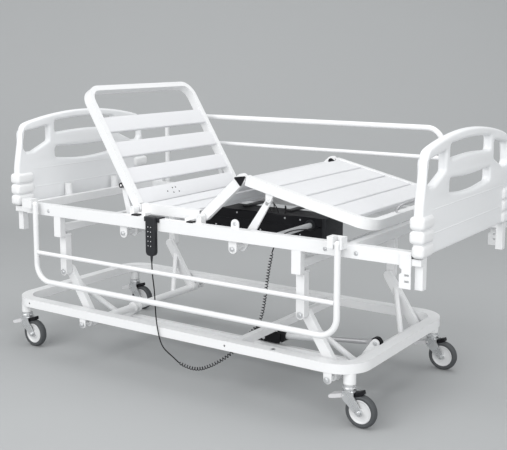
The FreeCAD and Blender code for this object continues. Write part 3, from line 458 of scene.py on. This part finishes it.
def bolt(name, spot, axis, radius, body):
    """A zinc hexagon head with its washer, seated at spot and standing out along axis."""
    head_profile = [(0, 0), (radius, 0), (radius, radius * 0.55), (radius * 0.82, radius * 0.72),
                    (0, radius * 0.72)]
    washer_profile = [(0, 0), (radius * 1.5, 0), (radius * 1.5, radius * 0.2), (0, radius * 0.25)]
    head = lathe(name + "_head", head_profile, spot, axis, ZINC, None, steps=6, smooth=20)
    washer = lathe(name + "_washer", washer_profile, spot, axis, ZINC, None, steps=24)
    return merge(name, [head, washer], ZINC, body)


def twin_bolts(name, x, y, z, radius, body):
    """The same bolt on the near and the far side, facing outwards."""
    for side, word in SIDES:
        bolt("%s_%s" % (name, word), at(x, side * y, z), (0, side, 0), radius, body)


def wire(name, points, radius, look, body):
    """A bent wire that is stiff, as a mesh. Its points and its radius are in metres."""
    curve = curve_object(name + "_line", points, radius, resolution=8, sides=3)
    bpy.context.view_layer.update()
    mesh = bpy.data.meshes.new_from_object(curve)
    bpy.data.objects.remove(curve)
    return mesh_piece(name, mesh, look, body, smooth=60)


# End boards: blow-moulded panels with round edges, hand grips, fold lines and three corner rolls

BOARDS = (("headboard", -832), ("footboard", 1126))
BOARD_THICK, BOARD_EDGE, BOARD_LOW = 36, 11, 670
BOARD_RIM = rounded([(-437, BOARD_LOW, 14), (437, BOARD_LOW, 14), (437, 838, 260), (400, 1034, 70)]
                    + [(x, z, 0) for x, z in arch(345, 1048, 37, 16)] + [(-400, 1034, 70), (-437, 838, 260)])
BOARD_GRIP = rounded([(398, 1000, 16), (398, 924, 16), (384, 908, 14), (340, 908, 14), (240, 950, 16),
                      (240, 1022, 14)])
BOARD_TOP_SLOT = rounded([(204, 985, 18), (204, 1041, 18)] + [(x, z, 0) for x, z in arch(150, 1044.5, 6, 8)]
                         + [(-204, 1041, 18), (-204, 985, 18)]
                         + [(-x, z, 0) for x, z in arch(150, 987, 5, 8)])
BOARD_LOW_SLOT = rounded([(204, 868, 18), (204, 920, 18)] + [(x, z, 0) for x, z in arch(150, 917.5, -5, 8)]
                         + [(-204, 920, 18), (-204, 868, 18)]
                         + [(-x, z, 0) for x, z in arch(150, 862, -9, 8)])
FOLD_LEVELS, FOLD_HALF, FOLD_PROUD, FOLD_TALL, FOLD_EDGE = (742, 826), 344, 0.9, 3.4, 0.8
ROLL_PITCH, ROLL_GAP, ROLL_INNER, ROLL_OUTER, ROLL_EDGE = 48.3, 0.4, 349, 449, 15
ROLL_REACH, ROLL_REACH_AT_RAIL = 28, 18


def end_board(label, x):
    holes = [BOARD_GRIP, [Vector((-p.x, p.y)) for p in reversed(BOARD_GRIP)], BOARD_TOP_SLOT, BOARD_LOW_SLOT]
    panel = plate(label + "_panel", [BOARD_RIM] + holes, BOARD_THICK, BOARD_EDGE, facing("X", at(x, 0, 0)),
                  BOARD, label, steps=4)
    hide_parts(label)


def fold_lines(label, x):
    """Shallow fold lines across both faces of a board."""
    lines = []
    for face in (x - BOARD_THICK / 2, x + BOARD_THICK / 2):
        for z in FOLD_LEVELS:
            lines.append(soft_box("line", (face - FOLD_PROUD, -FOLD_HALF, z),
                                  (face + FOLD_PROUD, FOLD_HALF, z + FOLD_TALL), FOLD_EDGE, BOARD, None))
    merge(label + "_moulded_lines", lines, BOARD, label)


def roll_stack(label, x, side, word):
    """Three soft rolls around one side edge. The footboard's lowest one makes room for the chassis rail."""
    y_low, y_high = sorted((side * ROLL_INNER, side * ROLL_OUTER))
    rolls = []
    for count in range(3):
        low = BOARD_LOW + count * ROLL_PITCH
        reach = ROLL_REACH_AT_RAIL if x > 0 and count == 0 else ROLL_REACH
        rolls.append(soft_box("roll", (x - reach, y_low, low + ROLL_GAP),
                              (x + ROLL_REACH, y_high, low + ROLL_PITCH - ROLL_GAP), ROLL_EDGE, BUMPER, None,
                              steps=6))
    stack = merge("%s_rolls_%s" % (label, word), rolls, BUMPER, label)
    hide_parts(label + "_bumpers")


for label, x in BOARDS:
    end_board(label, x)
for label, x in BOARDS:
    fold_lines(label, x)
    for side, word in SIDES:
        roll_stack(label, x, side, word)


# Slats: pressed steel channels with round edges, open below

SHEET, SLAT_TALL, SLAT_TOP, SLAT_TURN, FRAME_INNER = 2, 14, 18, 5, 343
PLANE_Z, BACK_X, THIGH_X = 712, -170, 178
BACK_ANGLE, THIGH_ANGLE, LEG_ANGLE, THIGH_LONG = 58.3, 42.2, 13, 243
KNEE = (THIGH_X + THIGH_LONG * math.cos(math.radians(THIGH_ANGLE)), 0,
        PLANE_Z + THIGH_LONG * math.sin(math.radians(THIGH_ANGLE)))


def section_turn(pivot, angle):
    """Places a point of a section, which lies along X from its pivot, in the CAD's frame."""
    return Matrix.Translation(at(*pivot)) @ Matrix.Rotation(math.radians(angle), 4, "Y")


def slat_profile(wide):
    """The channel's section, from its lower outer corner over the top and back along the inside."""
    half, low = wide / 2, SLAT_TOP - SLAT_TALL
    angles = [math.radians(15 * i) for i in range(7)]
    outer = [(-half + SLAT_TURN - SLAT_TURN * math.cos(a), SLAT_TOP - SLAT_TURN + SLAT_TURN * math.sin(a))
             for a in angles]
    inner = [(x * (half - SHEET) / half if abs(x) > half - SLAT_TURN else x, z - SHEET) for x, z in outer]
    outer_end = [(-x, z) for x, z in reversed(outer)]
    inner_end = [(-x, z) for x, z in inner]
    return ([(-half, low)] + outer + outer_end + [(half, low), (half - SHEET, low)] + inner_end
            + list(reversed(inner)) + [(-half + SHEET, low)])


def slats(node, pivot, angle, layout):
    """The slats of one section. layout holds each slat's middle, along the section, and its width."""
    turn = section_turn(pivot, angle)
    verts, faces = [], []
    for middle, wide in layout:
        profile = slat_profile(wide)
        first, count = len(verts), len(profile)
        for y in (-FRAME_INNER, FRAME_INNER):
            verts += [turn @ (Vector((middle + x, y, z)) / 1000) for x, z in profile]
        for i in range(count):
            j = (i + 1) % count
            faces.append((first + i, first + j, first + count + j, first + count + i))
        faces.append(tuple(range(first + count - 1, first - 1, -1)))
        faces.append(tuple(range(first + count, first + 2 * count)))
    name = node + "_pressed"
    piece = mesh_piece(name, closed_mesh(name, verts, faces), SLAT, frame["nodes"][node]["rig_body"])
    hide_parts(node)


slats("back_slats", (BACK_X, 0, PLANE_Z), BACK_ANGLE, [(-x, 73) for x in (40, 141, 266, 387)])
slats("seat_slats", (BACK_X, 0, PLANE_Z), 0, [(92, 115), (230, 115)])
slats("thigh_slats", (THIGH_X, 0, PLANE_Z), -THIGH_ANGLE, [(75, 88), (175, 88)])
slats("leg_slats", KNEE, LEG_ANGLE, [(95, 112), (216.5, 112), (338, 112), (453.5, 104)])


# Fasteners on the rails, lugs and pivots, the same on both sides

RAIL_FACE, RAIL_TOP, PLATE_FACE = 433, 690, 402.8
PIVOT_Z, HEAD_PIVOT_X, FOOT_PIVOT_X, ARM_TOP = 174, -445, 785, (-137, 214)
PIVOT_FACE, ARM_FACE = 438.6, 403.6
SHAFT_Z, BACK_SHAFT_X, LEG_SHAFT_X, SHAFT_FACE = 607, -206, 353, 424.6
RAIL_BOLTS = ((-633, 661), (770, 661), (895, 660))

for number, (x, z) in enumerate(RAIL_BOLTS):
    twin_bolts("rail_bolt_%d" % number, x, RAIL_FACE, z, 5.5, "chassis")
twin_bolts("shaft_nut_back", BACK_SHAFT_X, SHAFT_FACE, SHAFT_Z, 6.5, "back_shaft")
twin_bolts("shaft_nut_leg", LEG_SHAFT_X, SHAFT_FACE, SHAFT_Z, 6.5, "leg_shaft")
twin_bolts("rail_plate_bolt", LEG_SHAFT_X, PLATE_FACE, RAIL_TOP + 13, 5.5, "chassis")
for end, x, body in (("head", HEAD_PIVOT_X, "head_swing"), ("foot", FOOT_PIVOT_X, "foot_swing")):
    twin_bolts("ring_pivot_nut_" + end, x, PIVOT_FACE, PIVOT_Z, 8, body)
    twin_bolts("arm_pivot_nut_" + end, x + ARM_TOP[0], ARM_FACE, PIVOT_Z + ARM_TOP[1], 8, body)


# Round plug in the top of the ring, near the foot end of its near side

PLUG_SPOT = (537, -413, 238)
lathe("ring_plug", [(0, -1), (10.5, -1), (10.5, 0.8), (9, 1.4), (0, 1.4)], at(*PLUG_SPOT), UP, ZINC, "base",
      steps=32)
lathe("ring_plug_centre", [(0, 1), (5.5, 1), (5.5, 1.8), (0, 1.8)], at(*PLUG_SPOT), UP, BLACK, "base",
      steps=24)


# Rollers of the back lifting arms, bearing pads on the rails and black discs of painted shade for the holes
# in the lowest back slat

BACK_ARM, BACK_ARM_LEAN, ROLLER_Y = 200, math.radians(73.6), 360.5
BACK_ARM_TIP = (BACK_SHAFT_X - BACK_ARM * math.cos(BACK_ARM_LEAN),
                SHAFT_Z + BACK_ARM * math.sin(BACK_ARM_LEAN))
ROLLER_PROFILE = mirrored([(5, -6.9), (11, -6.9), (12.3, -5.6)])
PAD_SPANS, PAD_INNER, PAD_OUTER = ((-152, -118), (136, 164)), 404, 430
HOLE_SPOTS = ((-52, -120), (-52, -98), (-30, -124), (-30, -86), (-40, -160))


def roller_and_pads(side, word):
    lathe("back_roller_" + word, ROLLER_PROFILE, at(BACK_ARM_TIP[0], side * ROLLER_Y, BACK_ARM_TIP[1]),
          (0, 1, 0), BLACK, "back_shaft")
    y_low, y_high = sorted((side * PAD_INNER, side * PAD_OUTER))
    for x_low, x_high in PAD_SPANS:
        soft_box("bearing_pad_%s_%d" % (word, x_low), (x_low, y_low, RAIL_TOP - 0.5),
                 (x_high, y_high, RAIL_TOP + 6), 1.6, BLACK, "chassis")


def slat_holes():
    """Black discs on the slat's face: painted shade that shows as its small holes."""
    turn = section_turn((BACK_X, 0, PLANE_Z), BACK_ANGLE)
    holes = []
    for along, across in HOLE_SPOTS:
        spot = turn @ (Vector((along, across, SLAT_TOP - 0.4)) / 1000)
        holes.append(lathe("hole", [(0, 0), (3.4, 0), (3.4, 0.6), (0, 0.6)], spot, turn.to_3x3() @ UP, BLACK,
                           None, steps=20))
    # Black discs of painted shade where the slat's holes are.
    merge("slat_hole_shade_discs", holes, BLACK, "back_section")


for side, word in SIDES:
    roller_and_pads(side, word)
slat_holes()


# Twin drive: end caps, parting line, screws, shaft bosses and its short leads

BOX_HEAD, BOX_FOOT, BOX_NEAR, BOX_FAR, BOX_LOW, BOX_TOP = -225, 430, 175, 325, 545, 640
CAP_PROUD, CAP_LONG = 3, 19
LINE_INSET, LINE_PROUD, LINE_LOW, LINE_HIGH = 20, 0.9, 596, 599
SCREW_PLACES, SCREW_INSET = (-160, -40, 90, 220, 300), 14
DRIVE_LEADS = [
    [(60, 240, 639), (60, 240, 652), (70, 226, 668), (94, 208, 672), (118, 200, 664), (132, 196, 650),
     (134, 196, 639)],
    [(84, 300, 639), (84, 299, 656), (98, 270, 672), (126, 236, 670), (152, 214, 662), (164, 206, 650),
     (166, 206, 639)],
    [(150, 290, 639), (151, 288, 654), (168, 262, 666), (196, 226, 664), (204, 206, 652), (205, 200, 639)]]
DRIVE_LEAD_RADIUS = 0.0023


def drive_details():
    for word, low, high in (("head", BOX_HEAD - CAP_PROUD, BOX_HEAD + CAP_LONG),
                            ("foot", BOX_FOOT - CAP_LONG, BOX_FOOT + CAP_PROUD)):
        soft_box("drive_end_cap_" + word, (low, BOX_NEAR - CAP_PROUD, BOX_LOW - CAP_PROUD),
                 (high, BOX_FAR + CAP_PROUD, BOX_TOP + CAP_PROUD), 5, HANDSET, "chassis",
                 steps=4)
    soft_box("drive_parting_line", (BOX_HEAD + LINE_INSET, BOX_NEAR - LINE_PROUD, LINE_LOW),
             (BOX_FOOT - LINE_INSET, BOX_FAR + LINE_PROUD, LINE_HIGH), 0.8, BLACK, "chassis")
    screws = []
    for face, side in ((BOX_NEAR, -1), (BOX_FAR, 1)):
        for x in SCREW_PLACES:
            for z in (BOX_LOW + SCREW_INSET, BOX_TOP - SCREW_INSET):
                screws.append(lathe("screw", [(0, -1), (4.2, -1), (4.2, 0.8), (3.2, 1.6), (0, 1.6)],
                                    at(x, face, z), (0, side, 0), ZINC, None, steps=18))
        for x in (BACK_SHAFT_X, LEG_SHAFT_X):
            lathe("shaft_boss_%d_%d" % (x, side + 1), [(12.4, -1), (25, -1), (25, 4), (21, 8), (12.4, 8)],
                  at(x, face, SHAFT_Z), (0, side, 0), HANDSET, "chassis")
    merge("drive_screws", screws, ZINC, "chassis")


drive_details()
for number, route in enumerate(DRIVE_LEADS):
    routed_cord("drive_lead_%d" % number, route, DRIVE_LEAD_RADIUS)


# Lift drive: black covers over its brackets, the ram's black end and the bolts of its clevis

LIFT_Y, LIFT_REAR, CLEVIS = -80, (310, 172), (811, 226)
COVER_INNER, COVER_OUTER, CLEVIS_FACE = 45.2, 53, 19
RAM_CAP_PROFILE = mirrored([(11, -11.4), (21, -11.4), (23, -9.4)])


def lift_details():
    for side, word in SIDES:
        y_low, y_high = sorted((LIFT_Y + side * COVER_INNER, LIFT_Y + side * COVER_OUTER))
        soft_box("lift_cover_" + word, (LIFT_REAR[0] - 46, y_low, LIFT_REAR[1] - 16),
                 (LIFT_REAR[0] + 78, y_high, LIFT_REAR[1] + 34), 4, BLACK, "base", steps=4)
        bolt("lift_cover_bolt_" + word, at(LIFT_REAR[0], LIFT_Y + side * (COVER_OUTER - 0.2), LIFT_REAR[1]),
             (0, side, 0), 5, "base")
        bolt("clevis_bolt_" + word, at(CLEVIS[0], LIFT_Y + side * CLEVIS_FACE, CLEVIS[1]), (0, side, 0), 6,
             "foot_swing")
    lathe("ram_end_cap", RAM_CAP_PROFILE, at(CLEVIS[0], LIFT_Y, CLEVIS[1]), (0, 1, 0), BLACK,
          frame["nodes"]["lift_rod"]["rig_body"])


lift_details()


# Wire stop for the mattress at the foot end of the leg section

STOP_WIRE = [(565, -150, 16), (565, -150, 30), (572, -148, 48), (580, -130, 54), (582, -90, 55),
             (582, 90, 55), (580, 130, 54), (572, 148, 48), (565, 150, 30), (565, 150, 16)]
STOP_RADIUS = 0.004

leg_turn = section_turn(KNEE, LEG_ANGLE)
wire("mattress_stop", [leg_turn @ (Vector(p) / 1000) for p in STOP_WIRE], STOP_RADIUS, STEEL, "leg_section")


# Castor wheels: a grey tyre on a pale disc, with the axle's nuts, a black brake shoe and a swivel head

CASTER_X, CASTER_Y, AXLE_TRAIL, AXLE_Z, AXLE_FACE, SWIVEL_Z = 850, 380, 50, 62.5, 29.2, 136.4
TYRE_PROFILE = mirrored([(44, -12), (47, -14.5), (54, -15.6), (58.5, -13.5), (61.3, -9), (62.5, -3)])
DISC_PROFILE = mirrored([(4.2, -15), (11, -15), (12.5, -13.5), (14, -9.5), (30, -8.5), (37, -10), (40, -13),
                         (43, -14), (45, -12.5)])
SWIVEL_PROFILE = [(0, 0), (25.5, 0), (27.5, 2), (27.5, 9), (25, 12), (24.4, 20.5), (0, 20.5)]
SHOE_RIM = rounded([(20, 110, 3), (44, 118, 3), (62, 128, 3), (58, 142, 3), (36, 134, 4), (20, 130, 3)])


def caster(index, x, y):
    axle = at(x + AXLE_TRAIL, y, AXLE_Z)
    body, fork = "wheel_%d" % index, "fork_%d" % index
    tyre = lathe("tyre_%d" % index, TYRE_PROFILE, axle, (0, 1, 0), TYRE, body, steps=64)
    disc = lathe("wheel_disc_%d" % index, DISC_PROFILE, axle, (0, 1, 0), DISC, body,
                 steps=64)
    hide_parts("caster_wheel_%d" % index)
    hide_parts("caster_wheel_%d" % index)
    for side in (-1, 1):
        bolt("axle_nut_%d_%d" % (index, side + 1), axle + Vector((0, side * AXLE_FACE / 1000, 0)),
             (0, side, 0), 6.5, fork)
    plate("brake_shoe_%d" % index, [SHOE_RIM], 30, 3, facing("Y", at(x, y, 0)), BLACK, fork)
    lathe("swivel_head_%d" % index, SWIVEL_PROFILE, at(x, y, SWIVEL_Z), UP, ZINC, fork)


corners = [(x, y) for x in (-CASTER_X, CASTER_X) for y in (-CASTER_Y, CASTER_Y)]
for index, (x, y) in enumerate(corners, 1):
    caster(index, x, y)


# Handset: a slim case with two rows of keys, hooked over the near rail

HANDSET_X, HANDSET_TOP, HANDSET_LOW, HANDSET_HALF = -31, 699, 537, 24.5
HANDSET_BACK, HANDSET_THICK = -434, 23
HANDSET_FACE = HANDSET_BACK - HANDSET_THICK
KEY_ROWS, KEY_PITCH, KEY_LOW, KEY_COLUMN = 5, 19.5, 580, 7
MARK_SHIFT = Vector((0, -0.0017, 0))
KEY_PROFILE = [(0, -2), (5, -2), (5, 1.2), (4.2, 1.8), (0, 1.6)]
RELIEF_PROFILE = [(0, -2), (6, -2), (5.4, 4), (5.6, 5), (5, 9), (5.2, 10), (4.4, 15), (3.4, 24), (0, 24)]
CASE_RIM = rounded([(-HANDSET_HALF, HANDSET_TOP, 7), (HANDSET_HALF, HANDSET_TOP, 7),
                    (HANDSET_HALF, HANDSET_LOW, 21), (-HANDSET_HALF, HANDSET_LOW, 21)])
HOOK_RIM = rounded([(0, 676, 0), (5, 676, 0), (5, 695.4, 3), (-36, 695.4, 3), (-36, 671.5, 2),
                    (-32, 671.5, 2), (-32, 690.4, 1), (0, 690.4, 0)])
MAT_RIM = rounded([(-14.6, 571, 4), (14.6, 571, 4), (14.6, 667, 4), (-14.6, 667, 4)])
# Turns a plate so that its thickness lies along X and its first axis points to the near side.
ALONG_X = Matrix(((0, 0, 1, 0), (-1, 0, 0, 0), (0, 1, 0, 0), (0, 0, 0, 1)))


def key_print():
    """The pale print of the keys' symbols."""
    material, tree, shader = nodes_of("key_symbol_print")
    shader.inputs["Base Color"].default_value = (0.75, 0.76, 0.78, 1)
    shader.inputs["Roughness"].default_value = 0.55
    return material


def handset_shell():
    case = plate("handset_shell", [CASE_RIM], HANDSET_THICK, 5,
                 facing("Y", at(HANDSET_X, HANDSET_BACK - HANDSET_THICK / 2, 0)), HANDSET, "chassis", steps=4)
    hook = plate("handset_hook", [HOOK_RIM], 78, 1,
                 Matrix.Translation(at(HANDSET_X - 5, HANDSET_BACK - 0.5, 0)) @ ALONG_X, HANDSET, "chassis")
    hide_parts("handset_case")
    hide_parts("handset_case")


def keypad():
    """The mat with its round keys, marked with arrows: down in the left column, up in the right one."""
    symbol = key_print()
    keys, marks = [], []
    for row in range(KEY_ROWS):
        for column in (-1, 1):
            spot = at(HANDSET_X + column * KEY_COLUMN, HANDSET_FACE - 0.4, KEY_LOW + row * KEY_PITCH)
            keys.append(lathe("key", KEY_PROFILE, spot, (0, -1, 0), HANDSET, None, steps=24))
            arrow = [(-2.4, -1.7 * column), (2.4, -1.7 * column), (0, 2.5 * column)]
            marks.append(plate("mark", [arrow], 0.3, 0.05, facing("Y", spot + MARK_SHIFT), symbol, None,
                               steps=1))
    mat = plate("mat", [MAT_RIM], 1.6, 0.4, facing("Y", at(HANDSET_X, HANDSET_FACE + 0.4, 0)), HANDSET, None)
    pad = merge("keypad", keys + [mat], HANDSET, "keypad")
    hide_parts("handset_keys")
    merge("keypad_symbols", marks, symbol, "keypad")


handset_shell()
keypad()
lathe("handset_strain_relief", RELIEF_PROFILE, at(*LEAD[0]), (0, 0, -1), HANDSET, "chassis", steps=24)


# Floor, backdrop and light, in metres

FLOOR_HALF, FLOOR_FRONT, WALL_TOP = 30.0, -26.0, 12.0
BEND_START, BEND_RADIUS, BEND_STEPS = 3.0, 3.0, 16
SKY, SKY_STRENGTH = (0.98, 0.99, 1.0, 1), 0.85


def backdrop_paper():
    material, tree, shader = nodes_of("backdrop_paper")
    shader.inputs["Roughness"].default_value = 0.9
    shader.inputs["Specular IOR Level"].default_value = 0.1
    two_tones(tree, shader, noise(tree, 0.7, 2.0), (0.395, 0.404, 0.408), (0.405, 0.414, 0.418))
    return material


def backdrop():
    """A floor that bends up behind the bed into a wall."""
    mesh = bpy.data.meshes.new("backdrop")
    angles = [math.radians(90 * i / BEND_STEPS) for i in range(1, BEND_STEPS + 1)]
    profile = [(FLOOR_FRONT, 0.0), (BEND_START, 0.0)]
    profile += [(BEND_START + BEND_RADIUS * math.sin(a), BEND_RADIUS - BEND_RADIUS * math.cos(a))
                for a in angles]
    profile.append((BEND_START + BEND_RADIUS, WALL_TOP))
    verts, faces = [], []
    for y, z in profile:
        verts += [(-FLOOR_HALF, y, z), (FLOOR_HALF, y, z)]
    for i in range(len(profile) - 1):
        faces.append((2 * i, 2 * i + 1, 2 * i + 3, 2 * i + 2))
    mesh.from_pydata(verts, [], faces)
    for polygon in mesh.polygons:
        polygon.use_smooth = True
    mesh.materials.append(backdrop_paper())
    obj = bpy.data.objects.new("backdrop", mesh)
    obj.rotation_euler = (0, 0, AZIMUTH)
    bpy.context.scene.collection.objects.link(obj)


def lamp(name, spot, target, size, power):
    """A square lamp that shines from spot towards target."""
    data = bpy.data.lights.new(name, "AREA")
    data.shape = "RECTANGLE"
    data.size = data.size_y = size
    data.energy = power
    obj = bpy.data.objects.new(name, data)
    obj.location = spot
    obj.rotation_euler = (Vector(target) - Vector(spot)).to_track_quat("-Z", "Y").to_euler()
    bpy.context.scene.collection.objects.link(obj)


backdrop()
world = bpy.data.worlds.new("studio")
bpy.context.scene.world = world
world.use_nodes = True
world.node_tree.nodes["Background"].inputs["Color"].default_value = SKY
world.node_tree.nodes["Background"].inputs["Strength"].default_value = SKY_STRENGTH
lamp("key_light", (-2.5, -7.0, 6.5), (0, 0, 0.6), 5.0, 275)
lamp("fill_light", (7.0, -4.0, 3.0), (0, 0, 0.6), 4.0, 145)
lamp("front_light", (1.5, -7.0, 2.3), (0, 0, 0.4), 3.0, 130)
lamp("top_light", (0.5, 1.0, 5.5), (0, 0, 0.4), 4.0, 90)
bpy.context.scene.view_settings.view_transform = "Standard"
